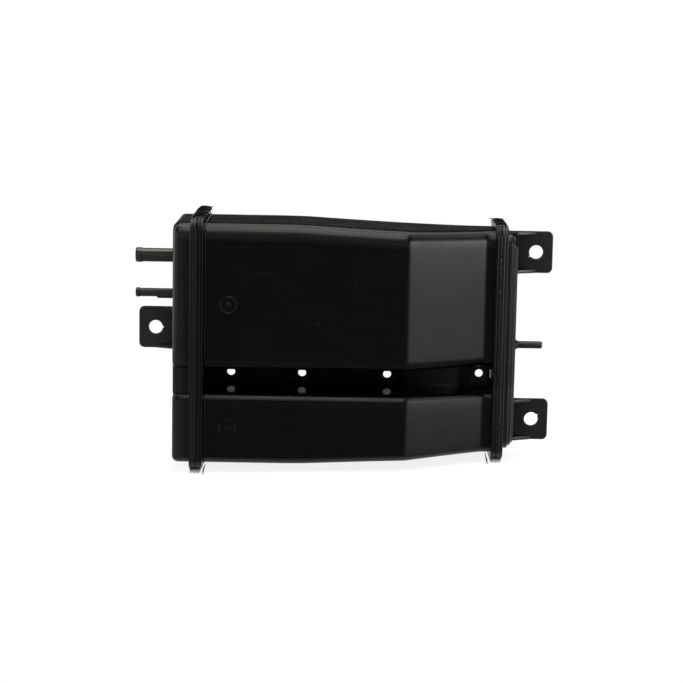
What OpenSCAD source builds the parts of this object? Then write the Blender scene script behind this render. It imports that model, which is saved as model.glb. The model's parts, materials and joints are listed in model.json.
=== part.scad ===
// Charcoal canister for fuel vapour: a black moulded housing with a large and a
// small chamber, closed by a port cover and an end cover, and filled with two
// carbon beds held between filters by perforated plates and springs.
// X runs from the port cover to the end cover, Y from front to back, Z up.

/* [Housing] */
// Distance between the weld planes of the two covers
housing_l = 223.6; // [205:0.1:260]
// Depth of both chambers at the port end
depth_port = 80; // [70:0.5:110]
// Depth of both chambers at the neck of the other end
depth_neck = 49; // [42:0.5:65]
// Height of the main chamber at the port end
main_h = 107.2; // [95:0.1:130]
// How far the roof of the main chamber falls towards the neck
roof_drop = 5.4; // [0:0.1:8]
// Distance from the port weld plane to where roof and floor start to close in
squeeze_x = 76; // [40:1:100]
// Height of the side chamber at the port end, beside the web
side_h = 53.6; // [48:0.1:70]
// How far the roof of the side chamber falls along the taper
side_drop = 2.6; // [0:0.1:5]
// How far the floor of the side chamber rises towards the neck
floor_rise = 4.9; // [0:0.1:6]
// Gap between the chambers at the web
groove_h = 16.6; // [12:0.1:24]
// Draft of the side chamber's roof, falling away from the web, in degrees
groove_draft = 3; // [0:0.1:5]
// Distance from the port weld plane to the bend of the front wall
bend_x = 154.3; // [120:0.1:165]
// Length of the straight neck up to the end weld plane
neck_l = 11.4; // [10.5:0.1:24]
// Thickness of the moulded walls
wall = 2.5; // [2:0.1:3]
// Corner radius of the main chamber
main_r = 8; // [4:0.5:14]
// Corner radius of the side chamber
side_r = 5; // [3.5:0.5:10]
// Height of the low stiffening bead beside the port flange
bead_h = 0.8; // [0.4:0.1:2]
// Width of that bead
bead_w = 1.2; // [1:0.1:3]
// Gap between that bead and the flange
bead_gap = 0.5; // [0.5:0.1:3]

/* [Web] */
// Thickness of the web between the chambers
web_t = 3; // [2:0.1:5]
// How far the web steps back along the taper of the front wall
web_step = 11; // [4:0.5:15]
// Share of the taper's length over which the web steps back
web_share = 0.72; // [0.4:0.02:1]
// Diameter of the round holes in the web
web_hole_d = 6; // [4:0.1:9]
// Distance of the first web hole from the port weld plane
web_hole_first = 23.8; // [15:0.1:40]
// Spacing of the first two web holes
web_pitch_port = 53.3; // [40:0.1:58]
// Distance of the third web hole in front of the bend
web_hole_bend = 13.3; // [8:0.1:20]
// Distance of the last web hole from the end weld plane
web_hole_last = 13; // [11:0.1:18]
// Width of the slot in the web beside the end flange
web_slot_w = 1; // [1:0.1:4]
// Height of that slot
web_slot_h = 6.5; // [3:0.1:9]

/* [Flanges] */
// Thickness of the housing's flange at the port end
port_flange_t = 5; // [3.5:0.1:7]
// Thickness of the housing's flange at the neck
neck_flange_t = 4.3; // [3.5:0.1:6]
// Thickness of the port cover's flange
port_cover_flange_t = 4.7; // [3.5:0.1:7]
// Thickness of the end cover's flange
end_cover_flange_t = 4.8; // [4:0.1:7]
// How far the flanges stand out in front and behind
lip_side = 5; // [3:0.1:8]
// How far the flanges stand out above
lip_top = 4.2; // [3:0.1:8]
// How far the flanges stand out below, as feet
lip_foot = 4.4; // [3:0.1:8]
// Corner radius of the flanges
flange_r = 8; // [5:0.5:12]
// Bevel of both flanges along the weld
weld_bevel = 0.6; // [0.5:0.1:2]

/* [Port cover] */
// Height of the cover's face above the weld plane
port_cover_l = 17.7; // [14:0.1:26]
// Rounding of the edge of that face
dome_edge = 3.5; // [2:0.1:5]
// Depth of the cover's waist, in front and behind
waist_in = 4; // [3:0.5:20]
// How far the waist lies below the cover's face
waist_low = 0.4; // [0.2:0.1:3]
// Thickness of the ribs that hold the grids
rib_t = 2; // [1.5:0.1:3]
// Distance of these ribs from the middle plane
rib_y = 14; // [10:0.5:20]

/* [End cover] */
// Height of the cover's face above the weld plane
end_cover_l = 13; // [10:0.1:18]
// Height of one step of the pan
step_h = 2.3; // [1:0.1:2.4]
// Inset of the first step from the neck's outline
pan_inset = 2.2; // [1:0.1:3]
// Inset of each further step
step_in = 1.6; // [0.8:0.1:2]
// Share of a step's height that its slope takes
step_slope = 0.4; // [0.2:0.05:0.8]

/* [Tabs] */
// Height of the fixing tabs
tab_h = 31.4; // [24:0.1:36]
// Thickness of the tabs
tab_t = 3; // [2:0.1:4]
// Corner radius of the tabs
tab_r = 4; // [2:0.5:6]
// Diameter of the tab holes
tab_hole_d = 10.4; // [6:0.1:13]
// Distance of a tab hole from the tab's outer edge
tab_hole_in = 12.5; // [9:0.1:13]
// Distance of the tabs behind the middle plane
tab_y = 15; // [10:0.5:18]
// How far the port cover's tab stands out from its face
port_tab_l = 29.1; // [24:0.1:40]
// How far the end cover's tabs stand out from its face
end_tab_l = 27.3; // [24:0.1:40]
// Height of the port tab's hole above the main chamber's floor
port_tab_up = 22.7; // [20:0.1:28]
// Height of the upper end tab's hole above the main chamber's floor
upper_tab_up = 84.5; // [60:0.1:86]
// Height of the lower end tab's hole above the feet's lip
lower_tab_up = 27.1; // [24:0.1:34]
// Thickness of the gusset ribs along the tabs
gusset_t = 2.6; // [1.5:0.1:3]
// Depth of the gusset ribs at their root
gusset_d = 7; // [4:0.1:9]

/* [Nipples] */
// Diameter of the tank nipple
tank_d = 10.2; // [7:0.1:12]
// Height of the tank nipple above the main chamber's floor
tank_up = 79.1; // [70:0.1:84]
// Diameter of the purge nipple
purge_d = 6.3; // [5:0.1:8]
// Height of the purge nipple above the main chamber's floor
purge_up = 51; // [44:0.1:60]
// Length of both nipples from the cover's face
port_nipple_l = 30.3; // [22:0.1:45]
// Wall of the nipples
nipple_wall = 1.4; // [1:0.1:1.6]
// How far the bead at a nipple's tip stands out
nipple_bead = 0.4; // [0.2:0.05:1]
// Length of the chamfer at a nipple's tip
nipple_tip = 1; // [0.4:0.1:1.4]
// Size of the collar at a nipple's root
nipple_collar = 1.2; // [0.6:0.1:2]
// Diameter of the vent nipple
vent_d = 5.5; // [4.5:0.1:8]
// Height of the vent nipple above the main chamber's floor
vent_up = 14.6; // [10:0.1:24]
// Distance of the vent nipple behind the middle plane
vent_y = 10; // [5:0.5:18]
// Length of the vent nipple from the cover's face
vent_l = 21; // [15:0.1:30]
// Length of the rib under the purge nipple
purge_rib_l = 15; // [6:0.1:20]
// Height of that rib below the nipple
purge_rib_h = 1.1; // [1:0.1:4]
// Thickness of that rib
purge_rib_t = 1.6; // [1:0.1:3]

/* [Filling] */
// Distance from the port weld plane to the grids
grid_x = 4; // [2:0.1:8]
// Thickness of the grids
grid_t = 3; // [2:0.1:4]
// Width of the square windows in grids and plates
window = 6; // [4:0.1:7]
// Pitch of these windows
window_pitch = 8; // [7.5:0.1:10]
// Thickness of the filter pads
filter_t = 5; // [3:0.1:7]
// Thickness of the pressure plates
plate_t = 3; // [2:0.1:4]
// Distance from the end weld plane back to the pressure plates
plate_back = 6.6; // [6:0.1:9]
// Clearance of the filling to the walls
slip = 0.3; // [0.1:0.1:0.5]
// Outer diameter of the springs
spring_d = 22; // [16:0.5:26]
// Diameter of the spring wire
wire_d = 1.6; // [1:0.1:2]
// Number of turns of a spring
spring_turns = 5; // [4:0.5:6]
// Spacing of the two springs in the main chamber
spring_pitch = 46; // [40:0.5:54]
// Height of the bosses that centre the springs
boss_h = 3.5; // [2:0.1:5]

/* [Hidden] */

shell_black = "#161718";
cover_black = "#1a1b1c";
grid_grey = "#3a3c3e";
pad_white = "#d8d6cd";
carbon_black = "#0d0d0e";
spring_steel = "#a9abad";

// Segments of a corner arc, and of a small edge rounding
arc_n = 5;
edge_n = 3;
// Facets of round bores and nipples, and of a spring wire
round_n = 48;
wire_n = 8;
// Rings of a spring in each turn
turn_n = 14;
// Overlap that joins features of one moulding
merge = 1;
// How far a cut runs past an open face
past = 0.5;
// Smallest corner radius of an inset outline
r_min = 1.5;

// Levels of the chambers above the flange's foot
side_z0 = lip_foot;
side_z1 = side_z0 + side_h;
main_z0 = side_z1 + groove_h;
main_z1 = main_z0 + main_h;
groove_mid = (side_z1 + main_z0) / 2;

// Stations along the housing, up to the bend and along the taper
body_rings = 6;
taper_rings = 4;
neck_x = housing_l - neck_l;
stations = concat(
    [for (i = [0 : body_rings]) bend_x * i / body_rings],
    [for (i = [1 : taper_rings]) bend_x + (neck_x - bend_x) * i / taper_rings],
    [housing_l]);
back_y = depth_port / 2;
taper = depth_port - depth_neck;
neck_mid_y = back_y - depth_neck / 2;

// Power of the curve by which roof and floor close in
squeeze_curve = 1.5;

// Share of the front wall's taper, and of the squeeze of roof and floor, reached at x
function limit(t) = min(max(t, 0), 1);
function share(x) = limit((x - bend_x) / (neck_x - bend_x));
function squeeze(x) = 1 - pow(1 - limit((x - squeeze_x) / (neck_x - squeeze_x)), squeeze_curve);
function front_y(x) = -back_y + taper * share(x);
function web_y(x) = web_step * limit(share(x) / web_share);
function roof_z(x) = main_z1 - roof_drop * squeeze(x);
function floor_z(x) = side_z0 + floor_rise * squeeze(x);
function side_roof_z(x) = side_z1 - side_drop * share(x);

// Rounded rectangle in the YZ plane, counter-clockwise seen from +X
function rounded(y0, y1, z0, z1, r) = [
    for (c = [[y1 - r, z0 + r, -90], [y1 - r, z1 - r, 0], [y0 + r, z1 - r, 90], [y0 + r, z0 + r, 180]])
        for (k = [0 : arc_n])
            let (a = c[2] + 90 * k / arc_n)
            [c[0] + r * cos(a), c[1] + r * sin(a)]];

// Outline of a chamber at x, drawn in by g on every side
function main_outline(x, g) =
    rounded(front_y(x) + g, back_y - g, main_z0 + g, roof_z(x) - g, max(main_r - g, r_min));
function side_outline(x, g) =
    let (mid = (floor_z(x) + side_roof_z(x)) / 2)
    [for (p = rounded(front_y(x) + g, back_y - g, floor_z(x) + g, side_roof_z(x) - g, max(side_r - g, r_min)))
        [p[0], p[1] - (p[1] > mid ? tan(groove_draft) * abs(p[0] - web_y(x)) : 0)]];
function chamber_outline(side, x, g) = side ? side_outline(x, g) : main_outline(x, g);

// Outline round both chambers at x, drawn in by g
function whole_outline(x, g, r) =
    rounded(front_y(x) + g, back_y - g, floor_z(x) + g, roof_z(x) - g, r);
function flange_outline(x, g) =
    rounded(front_y(x) - lip_side + g, back_y + lip_side - g,
        floor_z(x) - lip_foot + g, roof_z(x) + lip_top - g, flange_r - g);

function ring(x, outline) = [for (p = outline) [x, p[0], p[1]]];
function between(x0, x1) = concat([x0], [for (s = stations) if (s > x0 && s < x1) s], [x1]);

// Closed surface through rings of equal point count
module skin(rings) {
    n = len(rings[0]);
    m = len(rings);
    sides = [for (j = [0 : m - 2]) for (i = [0 : n - 1])
        let (a = j * n + i, b = j * n + (i + 1) % n)
        each [[a, a + n, b + n], [a, b + n, b]]];
    polyhedron(
        points = [for (r = rings) each r],
        faces = concat([[for (i = [0 : n - 1]) i]], sides, [[for (i = [n - 1 : -1 : 0]) (m - 1) * n + i]]),
        convexity = 4);
}

// Part of a chamber from x0 to x1, drawn in by g
module chamber(side, x0, x1, g) {
    skin([for (x = between(x0, x1)) ring(x, chamber_outline(side, x, g))]);
}

// Flat plate of an outline in the YZ plane, starting at x
module plate(x, t, outline) {
    translate([x, 0, 0])
        rotate([90, 0, 90])
            linear_extrude(t)
                polygon(outline);
}

// Flange with a bevel along the weld plane; dir is +1 or -1 from there
module flange(weld_x, t, dir) {
    at = [[0, weld_bevel], [weld_bevel, 0], [t, 0]];
    rings = [for (s = at) ring(weld_x + dir * s[0], flange_outline(weld_x, s[1]))];
    skin(dir > 0 ? rings : [for (i = [len(rings) - 1 : -1 : 0]) rings[i]]);
}

// Everything is built from the port weld plane and then centred on its length
x_low = -port_cover_l - max(port_nipple_l, port_tab_l);
x_high = housing_l + end_cover_l + max(end_tab_l, vent_l);
module place() {
    translate([-(x_low + x_high) / 2, 0, 0]) children();
}

// Holes of the web along X, with the last one in the neck
web_hole_xs = [web_hole_first, web_hole_first + web_pitch_port, bend_x - web_hole_bend,
    housing_l - web_hole_last];

// Web seen from above, as a strip round its bent middle line
module web() {
    knots = [0, bend_x, bend_x + web_share * (neck_x - bend_x), housing_l];
    strip = concat(
        [for (x = knots) [x, web_y(x) - web_t / 2]],
        [for (i = [len(knots) - 1 : -1 : 0]) [knots[i], web_y(knots[i]) + web_t / 2]]);
    translate([0, 0, side_z1 - side_drop - merge])
        linear_extrude(groove_h + side_drop + 2 * merge)
            polygon(strip);
}

module web_cuts() {
    for (x = web_hole_xs)
        translate([x, web_y(x), groove_mid])
            rotate([90, 0, 0])
                cylinder(h = web_t + 2 * past, d = web_hole_d, center = true, $fn = round_n);
    translate([housing_l - neck_flange_t - web_slot_w, web_step - web_t, groove_mid - web_slot_h / 2])
        cube([web_slot_w, 2 * web_t, web_slot_h]);
}

// Housing: two drafted chambers joined by the web and by a flange at each end
module housing() {
    bead_x = port_flange_t + bead_gap;
    color(shell_black) place() difference() {
        union() {
            for (side = [false, true]) {
                chamber(side, merge, housing_l - merge, 0);
                skin([for (x = [bead_x, bead_x + bead_w]) ring(x, chamber_outline(side, x, -bead_h))]);
            }
            web();
            flange(0, port_flange_t, 1);
            flange(housing_l, neck_flange_t, -1);
        }
        for (side = [false, true])
            chamber(side, -past, housing_l + past, wall);
        web_cuts();
    }
}

// Dome of the port cover over one chamber, with its face's edge rounded
module port_dome(side, face_x, open_x, g) {
    edge = dome_edge;
    turns = [for (k = [0 : edge_n]) 90 * k / edge_n];
    rounding = [for (a = turns) [face_x + edge * (1 - sin(a)), edge * (1 - cos(a))]];
    steps = concat([for (i = [edge_n : -1 : 0]) rounding[i]], [[open_x, 0]]);
    skin([for (s = steps) ring(s[0], chamber_outline(side, 0, s[1] + g))]);
}

// Fixing tab at the root plane x, standing out by l in direction dir
module tab(x, z, l, root, dir) {
    translate([x, 0, z]) mirror([dir > 0 ? 0 : 1, 0, 0]) {
        translate([0, tab_y + tab_t / 2, 0])
            rotate([90, 0, 0])
                linear_extrude(tab_t)
                    tab_plan(l, root);
        for (s = [-1, 1])
            translate([0, 0, s * (tab_h - gusset_t) / 2 - gusset_t / 2])
                linear_extrude(gusset_t)
                    polygon([[-root, tab_y], [-root, tab_y - tab_t / 2 - gusset_d],
                        [0, tab_y - tab_t / 2 - gusset_d], [l - tab_hole_in, tab_y - tab_t / 2],
                        [l - tab_hole_in, tab_y]]);
    }
}

// Plan of a tab in the XZ plane: square at the root, round at its outer corners
module tab_plan(l, root) {
    half = tab_h / 2;
    arcs = [for (s = [-1, 1]) for (k = [0 : arc_n])
        let (a = s < 0 ? -90 + 90 * k / arc_n : 90 * k / arc_n)
        [l - tab_r + tab_r * cos(a), s * (half - tab_r) + tab_r * sin(a)]];
    polygon(concat([[-root, half], [-root, -half]], arcs));
}

module tab_hole(x, z) {
    translate([x, tab_y, z])
        rotate([90, 0, 0])
            cylinder(h = tab_t + 2 * past, d = tab_hole_d, center = true, $fn = round_n);
}

// Hose nipple along +X from its root plane, with a collar and an optional bead
module nipple(d, l, bead) {
    r = d / 2;
    collar = nipple_collar;
    bead_l = d / 2;
    rotate([0, 90, 0])
        rotate_extrude($fn = round_n)
            polygon([[0, -merge], [r + collar, -merge], [r + collar, collar], [r, 2 * collar],
                [r, l - bead_l], [r + bead, l - bead_l + bead], [r + bead, l - nipple_tip],
                [r + bead - nipple_tip / 2, l], [0, l]]);
}

module bore(d, x0, x1) {
    translate([x0, 0, 0])
        rotate([0, 90, 0])
            cylinder(h = x1 - x0, d = d, $fn = round_n);
}

// Rib under the purge nipple, along -X from the cover's face, ending in a slope
module purge_rib(x, z) {
    top = nipple_wall / 2 - purge_d / 2;
    low = -purge_d / 2 - purge_rib_h;
    translate([x, purge_rib_t / 2, z])
        rotate([90, 0, 0])
            linear_extrude(purge_rib_t)
                polygon([[merge, top], [-purge_rib_l, top], [purge_rib_h - purge_rib_l, low], [merge, low]]);
}

// Ribs of the port cover that hold the grid of one chamber
module grid_ribs(side) {
    z0 = (side ? floor_z(0) : main_z0) + 2 * wall;
    z1 = (side ? side_z1 : roof_z(0)) - 3 * wall;
    for (s = [-1, 1])
        translate([-port_cover_l + wall - merge, s * rib_y - rib_t / 2, z0])
            cube([port_cover_l - wall + merge + grid_x, rib_t, z1 - z0]);
}

tank_z = main_z0 + tank_up;
purge_z = main_z0 + purge_up;
port_tab_z = main_z0 + port_tab_up;
vent_z = main_z0 + vent_up;
upper_tab_z = main_z0 + upper_tab_up;
lower_tab_z = side_z0 + lower_tab_up;

// Port cover: flange, two domes and their waist, two nipples and one tab
module port_cover() {
    face_x = -port_cover_l;
    ports = [[tank_d, tank_z], [purge_d, purge_z]];
    waist_half = back_y - waist_in;
    color(cover_black) place() {
        difference() {
            union() {
                flange(0, port_cover_flange_t, -1);
                for (side = [false, true])
                    port_dome(side, face_x, -merge, 0);
                translate([face_x + waist_low, -waist_half, side_z1 - side_r])
                    cube([port_cover_l - waist_low - merge, 2 * waist_half, groove_h + side_r + main_r]);
                for (p = ports)
                    translate([face_x, 0, p[1]])
                        mirror([1, 0, 0])
                            nipple(p[0], port_nipple_l, nipple_bead);
                purge_rib(face_x, purge_z);
                tab(face_x, port_tab_z, port_tab_l, merge, -1);
            }
            for (side = [false, true])
                port_dome(side, face_x + wall, past, wall);
            translate([face_x + waist_low + wall, -waist_half + wall, side_z1 - side_r - wall])
                cube([port_cover_l - waist_low - wall + past, 2 * (waist_half - wall),
                    groove_h + side_r + main_r + 2 * wall]);
            for (p = ports)
                translate([0, 0, p[1]])
                    bore(p[0] - 2 * nipple_wall, face_x - port_nipple_l - past, face_x + wall + past);
            tab_hole(face_x - port_tab_l + tab_hole_in, port_tab_z);
        }
        for (side = [false, true])
            grid_ribs(side);
    }
}

// Stepped pan of the end cover, its rings given as x and a count of insets
pan_steps = 2.4;
pan_face_x = housing_l + end_cover_l;
module pan() {
    slope = step_slope * step_h;
    steps = [[housing_l + merge, 0],
        [pan_face_x - 2 * step_h, 0], [pan_face_x - 2 * step_h + slope, 1],
        [pan_face_x - step_h, 1], [pan_face_x - step_h + slope, 2], [pan_face_x, pan_steps]];
    skin([for (s = steps)
        ring(s[0], whole_outline(housing_l, pan_inset + step_in * s[1], main_r))]);
}

// Hollow of the pan, open towards the housing
module pan_hollow() {
    in = pan_inset + wall;
    steps = [[housing_l - past, in], [pan_face_x - 2 * step_h - wall, in],
        [pan_face_x - wall, in + pan_steps * step_in]];
    skin([for (s = steps) ring(s[0], whole_outline(housing_l, s[1], main_r - wall))]);
}

// Places of the springs across the neck
main_mid_z = (main_z0 + roof_z(housing_l)) / 2;
side_mid_z = (floor_z(housing_l) + side_roof_z(housing_l)) / 2;
spring_seats = [main_mid_z + spring_pitch / 2, main_mid_z - spring_pitch / 2, side_mid_z];
boss_d = spring_d - 2 * wire_d - 2 * slip;
module spring_boss(x, z, h) {
    translate([x, neck_mid_y, z])
        rotate([0, 90, 0])
            cylinder(h = h, d = boss_d, $fn = round_n);
}

// End cover: flange, stepped pan, two tabs, the vent nipple and the spring bosses
module end_cover() {
    hole_x = pan_face_x + end_tab_l - tab_hole_in;
    color(cover_black) place() {
        difference() {
            union() {
                flange(housing_l, end_cover_flange_t, 1);
                pan();
                for (z = [upper_tab_z, lower_tab_z])
                    tab(pan_face_x, z, end_tab_l, end_cover_l - end_cover_flange_t + merge, 1);
                translate([pan_face_x, vent_y, vent_z])
                    nipple(vent_d, vent_l, 0);
            }
            pan_hollow();
            translate([0, vent_y, vent_z])
                bore(vent_d - 2 * nipple_wall, pan_face_x - wall - past, pan_face_x + vent_l + past);
            for (z = [upper_tab_z, lower_tab_z])
                tab_hole(hole_x, z);
        }
        for (z = spring_seats)
            spring_boss(pan_face_x - wall - boss_h, z, boss_h + merge);
    }
}

// Square windows centred on the middle of an outline's box
module windows(y0, y1, z0, z1) {
    edge = 2 * wall;
    ny = floor((y1 - y0 - 2 * edge) / window_pitch);
    nz = floor((z1 - z0 - 2 * edge) / window_pitch);
    for (i = [0 : ny - 1])
        for (j = [0 : nz - 1])
            translate([(y0 + y1) / 2 + (i - (ny - 1) / 2) * window_pitch,
                (z0 + z1) / 2 + (j - (nz - 1) / 2) * window_pitch])
                square(window, center = true);
}

// Perforated plate across one chamber at x
module screen(side, x, t, at) {
    z0 = side ? floor_z(at) : main_z0;
    z1 = side ? side_roof_z(at) : roof_z(at);
    translate([x, 0, 0])
        rotate([90, 0, 90])
            linear_extrude(t)
                difference() {
                    polygon(chamber_outline(side, at, wall + slip));
                    windows(front_y(at), back_y, z0, z1);
                }
}

// Stations of the filling between the covers
inlet_filter_x = grid_x + grid_t;
bed_x = inlet_filter_x + filter_t;
plate_x = housing_l - plate_back - plate_t;
outlet_filter_x = plate_x - filter_t;
spring_x = plate_x + plate_t;
spring_end_x = pan_face_x - wall;

module inlet_grid(side) {
    color(grid_grey) place() screen(side, grid_x, grid_t, 0);
}
module inlet_filter(side) {
    color(pad_white) place() plate(inlet_filter_x, filter_t, chamber_outline(side, 0, wall + slip));
}
module carbon_bed(side) {
    color(carbon_black) place() chamber(side, bed_x, outlet_filter_x, wall + slip);
}
module outlet_filter(side) {
    color(pad_white) place() plate(outlet_filter_x, filter_t, chamber_outline(side, housing_l, wall + slip));
}
module pressure_plate(side) {
    seats = side ? [spring_seats[2]] : [spring_seats[0], spring_seats[1]];
    color(grid_grey) place() {
        screen(side, plate_x, plate_t, housing_l);
        for (z = seats)
            spring_boss(plate_x, z, plate_t + boss_h);
    }
}

// Compression spring along X with closed end turns
module spring(z) {
    r = (spring_d - wire_d) / 2;
    free = spring_end_x - spring_x - 3 * wire_d;
    last = spring_turns - 1;
    function along(t) = wire_d * (0.5 + min(t, 1) + max(t - last, 0))
        + free * min(max((t - 1) / (last - 1), 0), 1);
    steps = spring_turns * turn_n;
    color(spring_steel) place()
        translate([spring_x, neck_mid_y, z])
            skin([for (k = [0 : steps])
                let (t = k / turn_n, a = 360 * t)
                [for (i = [0 : wire_n - 1])
                    let (b = 360 * i / wire_n, q = r + wire_d / 2 * sin(b))
                    [along(t) + wire_d / 2 * cos(b), q * cos(a), q * sin(a)]]]);
}

module main_inlet_grid() { inlet_grid(false); }
module side_inlet_grid() { inlet_grid(true); }
module main_inlet_filter() { inlet_filter(false); }
module side_inlet_filter() { inlet_filter(true); }
module main_carbon_bed() { carbon_bed(false); }
module side_carbon_bed() { carbon_bed(true); }
module main_outlet_filter() { outlet_filter(false); }
module side_outlet_filter() { outlet_filter(true); }
module main_pressure_plate() { pressure_plate(false); }
module side_pressure_plate() { pressure_plate(true); }
module main_spring_upper() { spring(spring_seats[0]); }
module main_spring_lower() { spring(spring_seats[1]); }
module side_spring() { spring(spring_seats[2]); }

housing();
port_cover();
end_cover();
main_inlet_grid();
side_inlet_grid();
main_inlet_filter();
side_inlet_filter();
main_carbon_bed();
side_carbon_bed();
main_outlet_filter();
side_outlet_filter();
main_pressure_plate();
side_pressure_plate();
main_spring_upper();
main_spring_lower();
side_spring();
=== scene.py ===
# %% [markdown]
# # A fuel-vapour charcoal canister
#
# The real object is a black box of moulded plastic that hangs near a fuel tank. A housing with a large
# and a small chamber is welded between two covers, and inside lie two beds of carbon. The solids give its
# sizes. This lesson gives it smooth mouldings, weld flash, finishes, light and a camera.

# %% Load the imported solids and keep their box
import json
import math
from types import SimpleNamespace

import bpy
import numpy as np
from mathutils import Matrix, Vector


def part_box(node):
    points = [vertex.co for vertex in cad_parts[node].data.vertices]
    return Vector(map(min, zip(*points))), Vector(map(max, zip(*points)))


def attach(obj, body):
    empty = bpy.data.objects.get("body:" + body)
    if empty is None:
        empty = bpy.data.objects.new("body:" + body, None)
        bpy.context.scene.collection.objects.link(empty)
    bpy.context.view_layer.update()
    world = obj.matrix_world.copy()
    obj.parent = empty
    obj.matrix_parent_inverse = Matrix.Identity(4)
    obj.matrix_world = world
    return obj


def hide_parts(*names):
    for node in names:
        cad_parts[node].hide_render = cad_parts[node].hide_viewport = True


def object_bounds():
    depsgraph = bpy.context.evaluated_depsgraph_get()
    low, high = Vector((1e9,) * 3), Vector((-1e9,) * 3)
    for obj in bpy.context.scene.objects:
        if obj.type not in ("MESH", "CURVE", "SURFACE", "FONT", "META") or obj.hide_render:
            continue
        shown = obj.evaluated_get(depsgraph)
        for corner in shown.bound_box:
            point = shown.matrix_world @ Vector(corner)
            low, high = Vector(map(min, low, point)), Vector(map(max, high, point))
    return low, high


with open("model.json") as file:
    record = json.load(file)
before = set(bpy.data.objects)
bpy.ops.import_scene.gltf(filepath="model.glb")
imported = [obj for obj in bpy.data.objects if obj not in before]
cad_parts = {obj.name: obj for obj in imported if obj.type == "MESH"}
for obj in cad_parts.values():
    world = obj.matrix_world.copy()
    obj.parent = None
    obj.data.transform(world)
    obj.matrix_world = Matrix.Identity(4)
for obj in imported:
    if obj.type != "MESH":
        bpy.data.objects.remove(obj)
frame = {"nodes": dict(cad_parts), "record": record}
cad_box = [list(corner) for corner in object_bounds()]
MM = 0.001
print("solids:", len(frame["nodes"]), "box in mm:", np.round(np.array(cad_box) / MM, 1).tolist())

# %% [markdown]
# ## Sizes
#
# All sizes below are in millimetres and are turned to metres only when a mesh is made. What the solids
# already know, such as the two weld planes and the outer flanges, is read from their boxes, so a change
# there is followed.

# %% Driving sizes of the housing
housing_low, housing_high = (np.array(corner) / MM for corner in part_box("housing"))
PORT_X, END_X = housing_low[0], housing_high[0]
LIP_SIDE, LIP_TOP, LIP_FOOT = 5.0, 4.2, 4.4
FRONT_Y, BACK_Y = housing_low[1] + LIP_SIDE, housing_high[1] - LIP_SIDE
NECK_DEPTH = 49.0
FLOOR_Z, ROOF_Z = housing_low[2] + LIP_FOOT, housing_high[2] - LIP_TOP
SIDE_H, GROOVE_H = 53.6, 16.6
SIDE_TOP_Z = FLOOR_Z + SIDE_H
MAIN_FLOOR_Z = SIDE_TOP_Z + GROOVE_H
ROOF_DROP, FLOOR_RISE, SIDE_DROP = 5.4, 4.9, 2.6
BEND_X, NECK_X, SQUEEZE_X = PORT_X + 154.3, END_X - 11.4, PORT_X + 76.0
WALL = 2.5
MAIN_R, SIDE_R, FLANGE_R = 8.0, 5.0, 8.0
GROOVE_DRAFT, ROOF_DRAFT, MAIN_DRAFT = (math.tan(math.radians(angle)) for angle in (3, 5.5, 1.5))
MAIN_DRAFT_FADE = 0.85
WEB_T, WEB_STEP, WEB_SHARE = 3.0, 11.0, 0.72
GROOVE_Z = (SIDE_TOP_Z + MAIN_FLOOR_Z) / 2
print("housing runs from", round(PORT_X, 2), "to", round(END_X, 2), "mm, groove at", round(GROOVE_Z, 2))

# %% [markdown]
# ## Surfaces from grids
#
# Every moulding here is a stack of rings. A ring is a rounded rectangle, and a loft joins ring to ring.
# Working on whole arrays keeps it short: one array holds every point of a surface, and one rule gives all
# its faces.

# %% Rings of a rounded rectangle
HOLD, LONG_HOLD = 1.0, 5.5
ARC = 10


def rounded_rings(y0, y1, z0, z1, r, hold=HOLD):
    """Rounded rectangles in the YZ plane, one for each entry of the arrays, counter-clockwise seen from
    +X. Each corner is a quarter circle about a centre r from both sides. Each straight side has points a
    short hold from its ends, so that the shading of the flat doesn't bleed into the round."""
    sides = [np.atleast_1d(np.asarray(side, float)) for side in (y0, y1, z0, z1, r)]
    y0, y1, z0, z1, r = np.broadcast_arrays(*sides)
    corners = []
    centres = ((y1 - r, z0 + r, -90), (y1 - r, z1 - r, 0), (y0 + r, z1 - r, 90), (y0 + r, z0 + r, 180))
    for cy, cz, start in centres:
        angle = np.radians(start + np.linspace(0, 90, ARC + 1))
        arc = np.stack([np.cos(angle), np.sin(angle)], -1)
        corners.append(np.stack([cy, cz], -1)[:, None] + r[:, None, None] * arc)
    rows = []
    for corner, following in zip(corners, corners[1:] + corners[:1]):
        span = following[:, 0] - corner[:, -1]
        ease = np.minimum(hold / np.maximum(np.linalg.norm(span, axis=1), 1e-6), 0.2)
        share = np.stack([ease, ease * 0 + 0.25, ease * 0 + 0.5, ease * 0 + 0.75, 1 - ease], 1)
        rows += [corner, corner[:, -1][:, None] + share[..., None] * span[:, None]]
    return np.concatenate(rows, 1)


def at_x(x, rings):
    """Lift rings from the YZ plane to points in space, one x for each ring."""
    x = np.broadcast_to(np.asarray(x, float)[:, None], rings.shape[:2])
    return np.concatenate([x[..., None], rings], -1)


print("a ring has", rounded_rings(0, 30, 0, 30, 5).shape[1], "points")

# %% [markdown]
# ### Closed shapes
#
# A mesh that is to be weighed or printed has to be closed. Every shape here is either a tube, whose last
# ring meets its first, or a stack of rings with a pole at each end. It is turned so that all its faces
# look outwards.

# %% Tubes, capped stacks and mesh objects
NO_TRIS = np.zeros((0, 3), int)


def grid_quads(rows, cols, wrap_rows):
    """Quads of a grid whose columns always wrap round, and whose rows wrap round for a closed tube."""
    i = np.arange(rows if wrap_rows else rows - 1)[:, None]
    j = np.arange(cols)[None, :]
    beside, below = (j + 1) % cols, (i + 1) % rows * cols
    return np.stack([i * cols + j, i * cols + beside, below + beside, below + j], -1).reshape(-1, 4)


def tube(points):
    """Closed wall from rings that run out along one side and back along the other, joined end to start."""
    rows, cols = points.shape[:2]
    return points.reshape(-1, 3), grid_quads(rows, cols, True), NO_TRIS


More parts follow.
